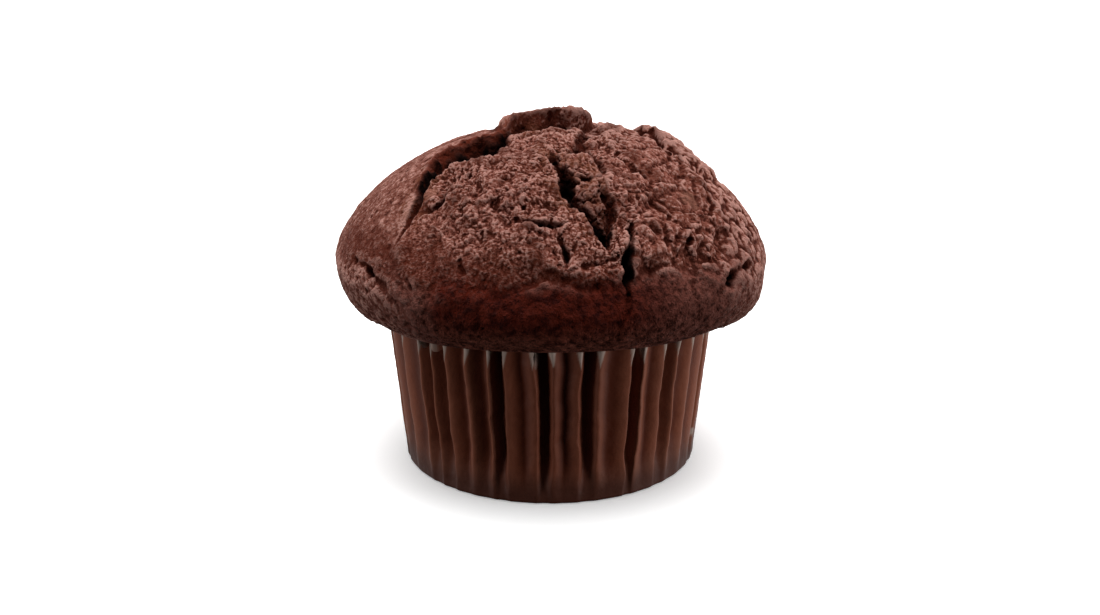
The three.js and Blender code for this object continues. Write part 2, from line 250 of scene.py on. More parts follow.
# Where torn crumb shows instead of baked crust, as an outline on the map.
TORN_OUTLINE = (
    (-27.2, -25.6), (-22.8, -17.6), (-20.4, -13.4), (-16.4, -9.4), (-12.0, -6.4), (-8.6, -4.2), (-7.2, 0.4),
    (0.0, 2.4), (7.0, 4.0), (11.0, 8.0), (14.6, 5.6), (19.0, 0.0), (25.0, -8.0), (31.0, -16.0),
    (32.0, -26.0), (24.0, -31.2), (15.0, -36.2), (9.0, -39.8), (0.0, -40.2), (-11.0, -41.4),
    (-19.0, -39.0), (-26.0, -32.0),
)
# The torn crumb's lower left edge, where it turns little by little into crust.
FADING_EDGE = (
    (-25.0, -21.6), (-27.2, -25.6), (-26.0, -32.0), (-19.0, -39.0), (-11.0, -41.4), (0.0, -40.2),
)
FADING_WIDTH = 12.0
# The line below which painted shade makes the front darker and redder, from left to right.
FRONT_SHADE_LINE = (
    (-33.0, -12.0), (-28.0, -20.0), (-22.5, -26.0), (-15.0, -32.0), (-6.0, -36.2), (4.0, -36.8),
    (13.0, -36.0), (22.0, -34.6), (30.0, -32.0),
)
# Where the top is crinkled, into plates further to the right.
CRINKLED_OUTLINE = (
    (6.0, 14.0), (20.0, 12.0), (33.0, 3.0), (40.0, -8.0), (39.0, -20.0), (33.0, -27.0), (15.0, -35.0),
    (8.0, 0.0),
)

# The coarse lumps: how wide they are, how high, and how far a plate or pebble stands over the next.
TORN_SWELL_SIZE = 5.5
TORN_SWELL_HEIGHT = 0.90
TORN_LUMP_SIZE = 3.2
TORN_LUMP_HEIGHT = 0.70
PLATE_SIZE = 4.6
PLATE_HEIGHT = 0.65
PLATE_STEP = 0.50
PEBBLE_SIZE = 2.3
PEBBLE_HEIGHT = 0.32
PEBBLE_STEP = 0.20
# A lump's middle level, which is taken off so that the lumps don't swell the cap.
LUMP_MIDDLE = 0.6

# The fine relief of the torn crumb: lumps, crumbs, grains and pits.
CLOD_SIZE = 2.3
CRUMB_SIZE = 1.9
CRUMB_HEIGHT = 0.12
GRAIN_SIZE = 0.72
GRAIN_HEIGHT = 0.06
ROUGH_SIZE = 3.0
ROUGH_HEIGHT = 1.2
CRUMB_RISE = 0.35
PIT_SIZE = 2.0
PIT_DEPTH = 0.6
# The fine relief of the baked crust: ripples, dents and pores.
RIPPLE_SIZE = 2.4
RIPPLE_HEIGHT = 0.16
DENT_SIZE = 3.0
DENT_DEPTH = 0.22
PORE_SIZE = 1.5
PORE_DEPTH = 0.35


# ---------------------------------------------------------------- meshes, paper, light and camera

# The cake's mesh: the remeshing's voxel, the triangles left, and how strongly plain parts are thinned.
CAKE_VOXEL = 0.23
CAKE_TRIANGLES = 196000
PLAIN_LEVELS = 10
THIN_FACTOR = 0.002
# How far the cap comes down over the rim, the scene's paper, and the rings and steps of its mesh.
RIM_LAP = 0.4
PAPER_SHEET = 0.3
BASE_ROWS = 3
LINING_ROWS = 6
WALL_ROWS = 64
PLEAT_STEPS = 22
# The folds: how far they waver, how deep they are, how round, and how they fade towards the foot.
PLEAT_SWAY = 0.65
PLEAT_CARVING = 1.15
PANEL_SAG = 0.9
NARROW_PLEAT = math.radians(7.2)
RIDGE_ROUND = 1.0
FOOT_SHARE = 0.06
FOOT_HEIGHT = 10.0
CORNER_RADIUS = 0.7
# Painted highlights on the folds' tops under the rim.
FOLD_TOP_HIGHLIGHT_WIDTH = 0.65
FOLD_TOP_HIGHLIGHT_HEIGHT = 3.2
# A beige fleck on the paper's right side.
FLECK_AZIMUTH = math.radians(73)
FLECK_HEIGHT = 5.5
FLECK_WIDTH = 1.3
FLECK_LENGTH = 1.1
# The white room's light, its shares in front and at the sides, and the table's glow.
ROOM_STRENGTH = 1.65
ROOM_FRONT = 0.05
ROOM_SIDES = 0.12
TABLE_STRENGTH = 0.42
# Softboxes, in metres and watts: where each stands, its width, height and power. All face one point.
SOFTBOXES = (
    ("top_softbox", (0.0, -0.02, 0.62), 0.50, 0.45, 4.3),
    ("right_softbox", (0.54, -0.20, 0.01), 0.22, 0.22, 2.8),
    ("left_softbox", (-0.52, -0.24, 0.03), 0.22, 0.22, 1.6),
)
LIT_POINT = (0, 0, 0.035)
# The camera looks down a little at a point over the case's middle.
CAMERA_DISTANCE = 280.0
CAMERA_PITCH = math.radians(18.5)
CAMERA_AIM = 25.3
SENSOR_WIDTH = 36.0
LENS = 53.56


# ---------------------------------------------------------------- numbers and noise

# Each pattern of noise has a salt of its own.
# The noise's lattice is turned, so that its rows don't line up with the part's axes.
LATTICE_TURN = np.array(Matrix.Rotation(0.8, 3, Vector((1, 2, 3))))


def mix(a, b, share):
    return a + (b - a) * share


def smooth_step(low, high, value):
    share = np.clip((value - low) / (high - low), 0.0, 1.0)
    return share * share * (3 - 2 * share)


def lattice_random(ix, iy, iz, salt):
    """A repeatable random number from 0 to 1 for each whole-numbered place."""
    h = ix.astype(np.uint32) * np.uint32(374761393)
    h = h + iy.astype(np.uint32) * np.uint32(668265263)
    h = h + iz.astype(np.uint32) * np.uint32(2246822519)
    h = h + np.uint32((salt * 3266489917) % 2**32)
    h = (h ^ (h >> np.uint32(15))) * np.uint32(2246822519)
    h = (h ^ (h >> np.uint32(13))) * np.uint32(3266489917)
    return ((h ^ (h >> np.uint32(16))) / 2**32).astype(np.float32)


def soft_noise(points, size, salt):
    """Smooth noise from -1 to 1 at each point, with bumps about as wide as size."""
    scaled = points @ LATTICE_TURN / size
    cell = np.floor(scaled)
    part = (scaled - cell).astype(np.float32)
    part = part * part * (3 - 2 * part)
    cell = cell.astype(np.int64)
    total = np.zeros(len(points), np.float32)
    for corner in product((0, 1), repeat=3):
        weight = np.ones(len(points), np.float32)
        for axis in range(3):
            weight *= part[:, axis] if corner[axis] else 1 - part[:, axis]
        total += weight * lattice_random(*(cell[:, axis] + corner[axis] for axis in range(3)), salt)
    return 2 * total - 1


def layered_noise(points, size, layers, salt, fall=0.5):
    total, weight, whole = 0, 1.0, 0.0
    for layer in range(layers):
        total = total + weight * soft_noise(points, size / 2**layer, salt + 17 * layer)
        whole += weight
        weight *= fall
    return total / whole


def cells(points, size, salt, jitter=0.9):
    """The distances to the nearest and the next of scattered seeds, and the nearest one's random number."""
    scaled = points @ LATTICE_TURN / size
    home = np.floor(scaled).astype(np.int64)
    nearest = np.full(len(points), 9.0, np.float32)
    following = nearest.copy()
    number = np.zeros(len(points), np.float32)
    for offset in product((-1, 0, 1), repeat=3):
        cell = [home[:, axis] + offset[axis] for axis in range(3)]
        away = np.zeros(len(points), np.float32)
        for axis in range(3):
            place = cell[axis] + 0.5 + jitter * (lattice_random(*cell, salt + axis) - 0.5)
            away += (scaled[:, axis] - place).astype(np.float32) ** 2
        away = np.sqrt(away)
        closer = away < nearest
        following = np.where(closer, nearest, np.minimum(following, away))
        number = np.where(closer, lattice_random(*cell, salt + 5), number)
        nearest = np.where(closer, away, nearest)
    return nearest * size, following * size, number


def pebbles(points, size, salt, crease):
    """Rounded lumps from 0 at the creases between them to 1, and each lump's random number."""
    nearest, following, number = cells(points, size, salt)
    share = np.clip((following - nearest) / crease, 0, 1)
    return share * (2 - share), number


def crumbs(points, size, layers, salt, fall):
    """Broken lumps with sharp creases between them at every scale, where 0 is the bottom of a crease."""
    total, weight = 0, 1.0
    for layer in range(layers):
        total = total + weight * np.abs(soft_noise(points, size / 2**layer, salt + 17 * layer))
        weight *= fall
    return total


# ---------------------------------------------------------------- materials

class Wire:
    """A socket of a node tree. An expression on wires and numbers adds its Math nodes."""

    def __init__(self, nodes, socket):
        self.nodes = nodes
        self.socket = socket

    def _math(self, operation, *values):
        return self.nodes.node("ShaderNodeMath", {"operation": operation}, dict(enumerate(values)))

    def __add__(self, other):
        return self._math("ADD", self, other)

    def __radd__(self, other):
        return self._math("ADD", other, self)

    def __sub__(self, other):
        return self._math("SUBTRACT", self, other)

    def __rsub__(self, other):
        return self._math("SUBTRACT", other, self)

    def __mul__(self, other):
        return self._math("MULTIPLY", self, other)

    def __rmul__(self, other):
        return self._math("MULTIPLY", other, self)


class Nodes:
    """A node tree, with its nodes made one by one."""

    def __init__(self, tree):
        self.tree = tree

    def node(self, kind, settings, values, output=0):
        made = self.tree.nodes.new(kind)
        for name, value in settings.items():
            setattr(made, name, value)
        for name, value in values.items():
            self.feed(made.inputs[name], value)
        return Wire(self, made.outputs[output])

    def feed(self, socket, value):
        if isinstance(value, Wire):
            self.tree.links.new(value.socket, socket)
        elif socket.type == "RGBA" and len(value) == 3:
            socket.default_value = (*value, 1.0)
        else:
            socket.default_value = value

    def span(self, value, low, high, low_to=0.0, high_to=1.0):
        values = {"Value": value, "From Min": low, "From Max": high, "To Min": low_to, "To Max": high_to}
        return self.node("ShaderNodeMapRange", {"interpolation_type": "SMOOTHSTEP"}, values)

    def blend(self, factor, a, b):
        made = self.tree.nodes.new("ShaderNodeMix")
        made.data_type = "RGBA"
        self.feed(made.inputs[0], factor)
        self.feed(made.inputs[6], a)
        self.feed(made.inputs[7], b)
        return Wire(self, made.outputs[2])


class Finish(Nodes):
    """A material."""

    def __init__(self, name, **constants):
        self.material = bpy.data.materials.new(name)
        self.material.use_nodes = True
        super().__init__(self.material.node_tree)
        self.shader = self.tree.nodes["Principled BSDF"]
        for socket, value in constants.items():
            self.feed(self.shader.inputs[socket.replace("_", " ")], value)

    def drive(self, **wires):
        for socket, value in wires.items():
            self.feed(self.shader.inputs[socket.replace("_", " ")], value)

    def attribute(self, name):
        return self.node("ShaderNodeAttribute", {"attribute_name": name}, {}, output="Fac")

    def noise(self, size_mm, detail=2.0, roughness=0.5, stretch=(1, 1, 1)):
        place = self.node("ShaderNodeTexCoord", {}, {}, output="Object")
        place = self.node("ShaderNodeMapping", {}, {"Vector": place, "Scale": stretch})
        values = {"Vector": place, "Scale": 1 / (size_mm * MM), "Detail": detail, "Roughness": roughness}
        return self.node("ShaderNodeTexNoise", {}, values, output="Fac")

    def bump(self, height, distance_mm, strength=1.0):
        values = {"Height": height, "Distance": distance_mm * MM, "Strength": strength}
        return self.node("ShaderNodeBump", {}, values)


# Colours of the cake. Where there are two, a spot is somewhere between them.
CRUST_COLORS = ((0.141, 0.042, 0.028), (0.174, 0.058, 0.041))
CRUMB_COLORS = ((0.147, 0.041, 0.026), (0.189, 0.060, 0.042))
# Painted shade in creases and painted highlights on the lumps' tips, mixed with random grain.
GRAIN_AND_CREASE_SHADE_COLOR = (0.039, 0.0054, 0.0018)
GRAIN_AND_TIP_HIGHLIGHT_COLOR = (0.385, 0.196, 0.160)
STAIN_COLOR = (0.066, 0.013, 0.006)
BLOT_COLOR = (0.072, 0.014, 0.0072)
FRECKLE_COLOR = (0.078, 0.016, 0.0072)
BANK_COLOR = (0.144, 0.044, 0.020)
FACE_COLOR = (0.180, 0.042, 0.025)
# Painted shade on the front below a line.
FRONT_SHADE_COLOR = (0.062, 0.009, 0.003)
PALE_LUMP_COLOR = (0.264, 0.108, 0.075)
# Painted shade on the band at the front and, darker, in its middle, and painted bounce light on the
# underside.
BAND_SHADE_COLORS = ((0.032, 0.0066, 0.0036), (0.142, 0.045, 0.033))
LOWER_SHADE_COLORS = ((0.021, 0.0012, 0.0004), (0.072, 0.0066, 0.0018))
UNDERSIDE_BOUNCE_LIGHT_COLORS = ((0.034, 0.0062, 0.0034), (0.205, 0.0640, 0.0420))
# Painted shade in cracks and hollows, painted light on the split's lit wall, and the darkest painted shade at
# their bottom.
CRACK_WALL_SHADE_COLOR = (0.030, 0.0036, 0.0012)
LIT_WALL_COLOR = (0.104, 0.0180, 0.0092)
CRACK_DEPTH_SHADE_COLOR = (0.0036, 0.0005, 0.0002)

# Colours of the paper.
PAPER_COLORS = ((0.164, 0.037, 0.015), (0.212, 0.055, 0.025))
BLOTCH_COLOR = (0.120, 0.029, 0.013)
# Darker towards the foot, and painted shade at the front.
FOOT_AND_FRONT_SHADE_COLOR = (0.040, 0.015, 0.011)
# Painted shade in the grooves.
GROOVE_SHADE_COLOR = (0.054, 0.009, 0.0036)
# Painted highlights along the folds.
RIDGE_HIGHLIGHT_COLOR = (0.372, 0.150, 0.096)
# Painted highlights on the folds' tops under the rim, and the beige fleck.
FOLD_TOP_HIGHLIGHT_AND_FLECK_COLOR = (0.360, 0.270, 0.228)


def cake_finish():
    cake = Finish("chocolate_cake", Diffuse_Roughness=0.5, Specular_IOR_Level=0.04)
    torn = cake.attribute("torn")
    hollow = cake.attribute("hollow")
    patches = cake.noise(8.0, 3.0)
    stains = cake.noise(4.0, 3.0)
    blots = cake.noise(2.2, 2.0)
    freckles = cake.noise(1.6, 3.0, 0.6)
    specks = cake.noise(1.3, 4.0, 0.7)
    grain = cake.noise(0.45, 2.0, 0.6)

    patched = cake.span(patches, 0.35, 0.65)
    color = cake.blend(torn, cake.blend(patched, *CRUST_COLORS), cake.blend(patched, *CRUMB_COLORS))
    # Random grain, with painted highlights on spots that stand out from what is round them, which are pale,
    # and painted shade in those that are sunken, which are deep red-brown.
    proud = cake.attribute("level") + (grain - 0.5) * (2.2 + 3.6 * cake.attribute("grainy"))
    color = cake.blend(cake.span(proud, 0.1, -0.9, 0.0, 0.92), color, GRAIN_AND_CREASE_SHADE_COLOR)
    color = cake.blend(cake.span(proud, 0.05, 1.1, 0.0, 0.92), color, GRAIN_AND_TIP_HIGHLIGHT_COLOR)
    # Stains on the crumb, blots on the crust's skirt, and freckles all over.
    color = cake.blend(torn * cake.span(stains, 0.50, 0.34, 0.0, 0.70), color, STAIN_COLOR)
    blotted = cake.attribute("skirt") * cake.span(blots, 0.48, 0.34, 0.0, 0.6)
    color = cake.blend(blotted, color, BLOT_COLOR)
    color = cake.blend(cake.span(freckles, 0.5, 0.75, 0.0, 0.45), color, FRECKLE_COLOR)
    # The crumb beside the cracks, the flap's torn face, painted shade on the front below a line, and the pale
    # lumps.
    warm = cake.attribute("bank") * cake.span(freckles, 0.42, 0.6, 0.0, 0.5)
    color = cake.blend(warm, color, BANK_COLOR)
    facing = cake.attribute("face") * cake.span(blots, 0.35, 0.6, 0.75, 0.35)
    color = cake.blend(facing, color, FACE_COLOR)
    front_shade = cake.attribute("front_shade") * cake.span(specks, 0.3, 0.6, 0.85, 0.5)
    color = cake.blend(front_shade, color, FRONT_SHADE_COLOR)
    color = cake.blend(cake.attribute("pale") * 0.6, color, PALE_LUMP_COLOR)
    # Painted shade on the smooth band under the crumb at the front, and darker, redder painted shade in the
    # middle of it, with painted bounce light on the underside.
    band = cake.blend(cake.span(specks, 0.36, 0.58), *BAND_SHADE_COLORS)
    color = cake.blend(cake.attribute("band") * 0.9, color, band)
    specked = cake.span(specks, 0.34, 0.62)
    lower = cake.blend(specked, *LOWER_SHADE_COLORS)
    underside = cake.blend(specked, *UNDERSIDE_BOUNCE_LIGHT_COLORS)
    lower = cake.blend(cake.attribute("under"), lower, underside)
    color = cake.blend(cake.attribute("lower") * 0.93, color, lower)
    # Painted shade on the walls of the cracks, with painted light on the split's lit wall, and the darkest
    # painted shade at their bottom.
    wall = cake.blend(cake.attribute("flank"), CRACK_WALL_SHADE_COLOR, LIT_WALL_COLOR)
    color = cake.blend(hollow * 0.9, color, wall)
    color = cake.blend(cake.attribute("deep"), color, CRACK_DEPTH_SHADE_COLOR)

    rough = cake.span(grain, 0.3, 0.7, 0.80, 0.60)
    cake.drive(Base_Color=color, Roughness=rough + (1 - rough) * hollow, Normal=cake.bump(grain, 0.5))
    return cake.material


def paper_finish():
    paper = Finish("baking_paper", Specular_IOR_Level=0.12)
    fibre = paper.noise(0.7, 3.0, 0.6, stretch=(1, 1, 0.35))
    blotch = paper.noise(5.0, 2.0)
    color = paper.blend(paper.span(fibre, 0.3, 0.7), *PAPER_COLORS)
    color = paper.blend(paper.span(blotch, 0.35, 0.65, 0.0, 0.35), color, BLOTCH_COLOR)
    # Darker towards the foot, and painted shade at the front.
    color = paper.blend(paper.attribute("foot") * 0.85, color, FOOT_AND_FRONT_SHADE_COLOR)
    # Painted shade in the grooves.
    color = paper.blend(paper.span(paper.attribute("deep"), 0.2, 1.0, 0.0, 0.75), color, GROOVE_SHADE_COLOR)
    # Painted highlights along the folds, weaker in front.
    color = paper.blend(paper.attribute("ridge_highlight") * 0.45, color, RIDGE_HIGHLIGHT_COLOR)
    # Painted highlights on the folds' tops under the rim, and the beige fleck.
    color = paper.blend(paper.attribute("fold_top_highlight_and_fleck"), color, FOLD_TOP_HIGHLIGHT_AND_FLECK_COLOR)
    crumple = paper.noise(1.0, 3.0, 0.6)
    paper.drive(Base_Color=color, Roughness=paper.span(fibre, 0.3, 0.7, 0.42, 0.55),
                Normal=paper.bump(crumple, 0.08))
    return paper.material


def stage_finish():
    white = Finish("white_paper_sweep", Roughness=0.9, Base_Color=(0.98, 0.98, 0.98), Specular_IOR_Level=0.0,
                   Emission_Color=(1.0, 1.0, 1.0), Emission_Strength=0.28)
    return white.material


# ---------------------------------------------------------------- making meshes

def lathe_blank(name, rows, angles):
    """A sheet to wrap into a closed round shape, with each place's ring, from the top pole, and angle."""
    bpy.ops.object.select_all(action="DESELECT")
    bpy.ops.mesh.primitive_grid_add(x_subdivisions=angles, y_subdivisions=rows - 1, size=1)
    blank = bpy.context.object
    blank.name = blank.data.name = name
    places = places_of(blank)
    ring = np.rint((0.5 - places[:, 1]) * (rows - 1)).astype(int)
    number = np.rint((places[:, 0] + 0.5) * angles).astype(int) % angles
    return blank, ring, number


def wrap(blank, radius, azimuth, height):
    """Wraps a blank round the vertical axis, and closes its seam and its poles."""
    move_to(blank, np.stack([radius * np.sin(azimuth), -radius * np.cos(azimuth), height], 1))
    bpy.ops.object.mode_set(mode="EDIT")
    bpy.ops.mesh.select_all(action="SELECT")
    bpy.ops.mesh.remove_doubles(threshold=1e-5)
    bpy.ops.object.mode_set(mode="OBJECT")


def places_of(piece):
    places = np.empty(3 * len(piece.data.vertices))
    piece.data.vertices.foreach_get("co", places)
    return places.reshape(-1, 3)


def move_to(piece, places):
    piece.data.vertices.foreach_set("co", np.ascontiguousarray(places, dtype=np.float32).ravel())
    piece.data.update()


def normals_of(piece):
    normals = np.empty(3 * len(piece.data.vertices))
    piece.data.vertex_normals.foreach_get("vector", normals)
    return normals.reshape(-1, 3)


def store(piece, name, values):
    attribute = piece.data.attributes.new(name, "FLOAT", "POINT")
    attribute.data.foreach_set("value", np.ascontiguousarray(values, dtype=np.float32))


def apply_modifier(piece, kind, **settings):
    bpy.ops.object.select_all(action="DESELECT")
    piece.select_set(True)
    bpy.context.view_layer.objects.active = piece
    modifier = piece.modifiers.new(kind.lower(), kind)
    for name, value in settings.items():
        setattr(modifier, name, value)
    bpy.ops.object.modifier_apply(modifier=modifier.name)


def spread(piece, values, rounds):
    """Values averaged with those of the neighbours, a number of times over."""
    edges = np.empty(2 * len(piece.data.edges), np.int32)
    piece.data.edges.foreach_get("vertices", edges)
    a, b = edges.reshape(-1, 2).T
    count = len(values)
    ends = np.concatenate([a, b])
    others = np.concatenate([b, a])
    neighbours = np.maximum(np.bincount(ends, minlength=count), 1)
    for _ in range(rounds):
        if values.ndim == 1:
            mean = np.bincount(ends, values[others], count) / neighbours
        else:
            sums = [np.bincount(ends, values[others, k], count) for k in range(values.shape[1])]
            mean = np.stack(sums, 1) / neighbours[:, None]
        values = 0.5 * (values + mean)
    return values


# ---------------------------------------------------------------- the cap's section and relief

def case_radius(height):
    return CASE_BASE_RADIUS + CASE_SLOPE * height


def rim_height(azimuth):
    return RIM_HEIGHT + RIM_WAVE * np.cos(2 * azimuth)


def pleat_share(height):
    rise = smooth_step(0, PLEAT_FADE_HEIGHT, height)
    wall = mix(PLEAT_WALL_SHARE, 1, (height - PLEAT_FADE_HEIGHT) / (RIM_HEIGHT - PLEAT_FADE_HEIGHT))
    return np.where(rise < 1, mix(PLEAT_BOTTOM_SHARE, PLEAT_WALL_SHARE, rise), wall)


class Section:
    """The half section of the cap, from its top to where it meets the rim of the paper."""

    def __init__(self, samples=240):
        share = 1 - (np.arange(samples + 1) / samples) ** 2
        dome_radius = CAP_RADIUS * (1 - share**DOME_RISE_POWER) ** (1 / DOME_ROUND_POWER)
        dome_height = mix(CAP_WIDEST_HEIGHT, DOME_HEIGHT, share)
        share = np.arange(1, samples + 1) / samples
        swell = (1 - share**UNDERSIDE_DROP_POWER) ** (1 / UNDERSIDE_ROUND_POWER)
        under_radius = mix(case_radius(RIM_HEIGHT), CAP_RADIUS, swell)
        under_height = mix(CAP_WIDEST_HEIGHT, RIM_HEIGHT, share)
        self.radius = np.concatenate([dome_radius, under_radius])
        self.height = np.concatenate([dome_height, under_height])
        steps = np.hypot(np.diff(self.radius), np.diff(self.height))
        self.length = np.concatenate([[0], np.cumsum(steps)])
        self.dome_length = self.length[samples]
        self.whole = self.length[-1]
        self.run_radius = np.gradient(self.radius, self.length)
        self.run_height = np.gradient(self.height, self.length)

    def at(self, length):
        """Radius, height and the outward direction at lengths along the crust."""
        radius = np.interp(length, self.length, self.radius)
        height = np.interp(length, self.length, self.height)
        out_radius = -np.interp(length, self.length, self.run_height)
        out_height = np.interp(length, self.length, self.run_radius)
        size = np.hypot(out_radius, out_height)
        return radius, height, out_radius / size, out_height / size

    def length_near(self, radius, height):
        """The length along the crust of the point of the section that is nearest to each given one."""
        cell = 0.4
        columns = np.arange(0, 44, cell)
        rows = np.arange(20, 64, cell)
        grid_radius, grid_height = np.meshgrid(columns, rows, indexing="ij")
        away = (grid_radius[..., None] - self.radius) ** 2 + (grid_height[..., None] - self.height) ** 2
        table = self.length[away.argmin(-1)]
        u = np.clip(radius / cell, 0, len(columns) - 1.001)
        v = np.clip((height - rows[0]) / cell, 0, len(rows) - 1.001)
        iu, iv = u.astype(int), v.astype(int)
        fu, fv = u - iu, v - iv
        low = mix(table[iu, iv], table[iu + 1, iv], fu)
        high = mix(table[iu, iv + 1], table[iu + 1, iv + 1], fu)
        return mix(low, high, fv)


def nearest_on(route, x, y):
    """How far the nearest point of a route is, on which side, its own values, and the way from it."""
    best = None
    for start, end in zip(route, route[1:]):
        dx, dy = end[0] - start[0], end[1] - start[1]
        share = np.clip(((x - start[0]) * dx + (y - start[1]) * dy) / (dx * dx + dy * dy), 0, 1)
        off_x, off_y = x - start[0] - share * dx, y - start[1] - share * dy
        away = np.hypot(off_x, off_y)
        side = (dx * (y - start[1]) - dy * (x - start[0])) / math.hypot(dx, dy)
        rank = away - TIE_BREAK * np.abs(side)
        half, depth, lip = (mix(start[k], end[k], share) for k in (2, 3, 4))
        found = np.stack([rank, away, side, half, depth, lip, off_x, off_y])
        best = found if best is None else np.where(rank < best[0], found, best)
    return best[1:]


def nearest_on_line(points, x, y):
    """How far the nearest point of a plain line on the map is, and on which side."""
    route = [(*point, 0, 0, 0) for point in points]
    return nearest_on(route, x, y)[:2]


def crack_shape(route, x, y):
    """What a crack does to the crust: its rise, how deep it is, and how far it leans along x and y."""
    away, side, half, depth, lip, off_x, off_y = nearest_on(route, x, y)
    gap = 1 - smooth_step(0.3 * half, 1.3 * half + 0.15, away)
    beyond = np.maximum(0, away - half)
    edge = smooth_step(0.2 * half, 1.2 * half, away) * (side > 0)
    raised = lip * edge * np.exp(-((beyond / LIP_REACH) ** 2))
    lean = LIP_OVERHANG * np.clip(lip / 1.6, 0, 1) * edge * np.exp(-((beyond / 3) ** 2))
    lean = lean / np.maximum(away, 0.2)
    return raised - depth * gap, depth * gap, -lean * off_x, -lean * off_y


def inside_outline(outline, x, y, softness):
    """1 well inside a closed outline on the map and 0 well outside it."""
    within = np.zeros(len(x), bool)
    away = np.full(len(x), 1e9)
    for (ax, ay), (bx, by) in zip(outline, outline[1:] + outline[:1]):
        crossing = (ay > y) != (by > y)
        with np.errstate(divide="ignore", invalid="ignore"):
            within ^= crossing & (x < (bx - ax) * (y - ay) / (by - ay) + ax)
        dx, dy = bx - ax, by - ay
        share = np.clip(((x - ax) * dx + (y - ay) * dy) / (dx * dx + dy * dy), 0, 1)
        away = np.minimum(away, np.hypot(x - ax - share * dx, y - ay - share * dy))
    return smooth_step(-softness, softness, np.where(within, away, -away))


def jagged(x, y):
    """Points of the map moved about a little, so that what follows them has ragged edges."""
    flat = np.stack([x, y, np.zeros(len(x))], 1)
    return x + 0.8 * layered_noise(flat, 2.4, 2, 101), y + 0.8 * layered_noise(flat, 2.4, 2, 202)


def cap_relief(x, y):
    """The crust at points of the map: its rise above the plain dome, how deep it is cracked, and its lean."""
    rise = np.zeros(len(x))
    for sx, sy, radius, height in SWELLS:
        rise += height * np.exp(-((x - sx) ** 2 + (y - sy) ** 2) / radius**2)
    jag_x, jag_y = jagged(x, y)
    cracked, lean_x, lean_y = np.zeros((3, len(x)))
    for crack in CRACKS:
        points = np.array(crack)
        reach = 2 + 2.2 * LIP_REACH * (points[:, 4].max() > 0.45)
        (left, low), (right, high) = points[:, :2].min(0) - reach, points[:, :2].max(0) + reach
        here = np.flatnonzero((jag_x > left) & (jag_x < right) & (jag_y > low) & (jag_y < high))
        crack_rise, crack_depth, crack_lean_x, crack_lean_y = crack_shape(crack, jag_x[here], jag_y[here])
        rise[here] += crack_rise
        cracked[here] = np.maximum(cracked[here], crack_depth)
        lean_x[here] += crack_lean_x
        lean_y[here] += crack_lean_y
    flap = FLAP_HEIGHT * inside_outline(FLAP_OUTLINE, jag_x, jag_y, FLAP_EDGE)
    arch = np.sqrt(np.clip(1 - ((x + 0.6) / FLAP_SPAN) ** 2, 0.1, 1))
    rise += flap * arch * np.exp(-((np.maximum(0, y - 2) / FLAP_REACH) ** 2))
    rise += FLAKE_HEIGHT * inside_outline(FLAKE_OUTLINE, jag_x, jag_y, FLAKE_EDGE)
    in_ravine = inside_outline(RAVINE_OUTLINE, jag_x, jag_y, 0.5)
    rise -= in_ravine * mix(*RAVINE_DEPTHS, smooth_step(-13, -28, y))
    flat = np.stack([x, y, np.zeros(len(x))], 1)
    torn = inside_outline(TORN_OUTLINE, jag_x, jag_y, 1.5)
    crinkled = inside_outline(CRINKLED_OUTLINE, jag_x, jag_y, 3.0)
    warped = flat + 40 + 1.2 * np.stack([soft_noise(flat, 3.0, salt) for salt in (31, 32, 33)], 1)
    plates, plate_number = pebbles(warped, PLATE_SIZE, 303, 1.4)
    swells = TORN_SWELL_HEIGHT * soft_noise(flat, TORN_SWELL_SIZE, 505)
    lumps = TORN_LUMP_HEIGHT * soft_noise(flat, TORN_LUMP_SIZE, 506)
    rise += torn * (swells + lumps + 0.20 * (plates - LUMP_MIDDLE))
    rise += crinkled * (PLATE_HEIGHT * (plates - LUMP_MIDDLE) + PLATE_STEP * (plate_number - 0.5))
    small, small_number = pebbles(warped, PEBBLE_SIZE, 307, 0.9)
    rise += crinkled * (PEBBLE_HEIGHT * (small - LUMP_MIDDLE) + PEBBLE_STEP * (small_number - 0.5))
    rise += 0.25 * soft_noise(flat, 9.0, 404)
    return rise, cracked, lean_x, lean_y


def cake_body(section, rows, angles):
    """The closed body: the stem that fills the case, and the cap with its swells, cracks and lumps."""
    stem_rows = 8
    blank, ring, number = lathe_blank("cake", rows, angles)
    azimuth = 2 * math.pi * number / angles
    crust_rows = rows - stem_rows
    length = np.minimum(ring / (crust_rows - 1), 1) * section.whole
    x, y = length * np.sin(azimuth), -length * np.cos(azimuth)
    rise, _, lean_x, lean_y = cap_relief(x, y)
    at_rim = smooth_step(section.dome_length, section.whole, length)
    leaning = (1 - at_rim) * smooth_step(0, 0.5, length)
    x, y = x + lean_x * leaning, y + lean_y * leaning
    length, azimuth = np.hypot(x, y), np.arctan2(x, -y)
    radius, height, out_radius, out_height = section.at(length)
    rise *= 1 - at_rim
    lift = rim_height(azimuth) - RIM_HEIGHT - RIM_LAP
    radius = radius + rise * out_radius + 0.2 * at_rim
    height = height + rise * out_height + lift * at_rim

    floor = CASE_PAPER + CLEARANCE
    down = np.clip((ring - crust_rows + 1) / (stem_rows - 1), 0, 1)
    stem_height = mix(RIM_HEIGHT + lift, floor, np.clip((down * 7 - 1) / 5, 0, 1))
    stem_radius = case_radius(stem_height) - PLEAT_MAX_DEPTH * pleat_share(stem_height)
    stem_radius = stem_radius - CASE_PAPER - CLEARANCE
    stem_radius = np.where(ring == rows - 1, 0, stem_radius)
    in_stem = ring >= crust_rows
    radius = np.where(ring == 0, 0, np.where(in_stem, stem_radius, radius))
    height = np.where(in_stem, stem_height, height)
    wrap(blank, radius, azimuth, height)
    return blank


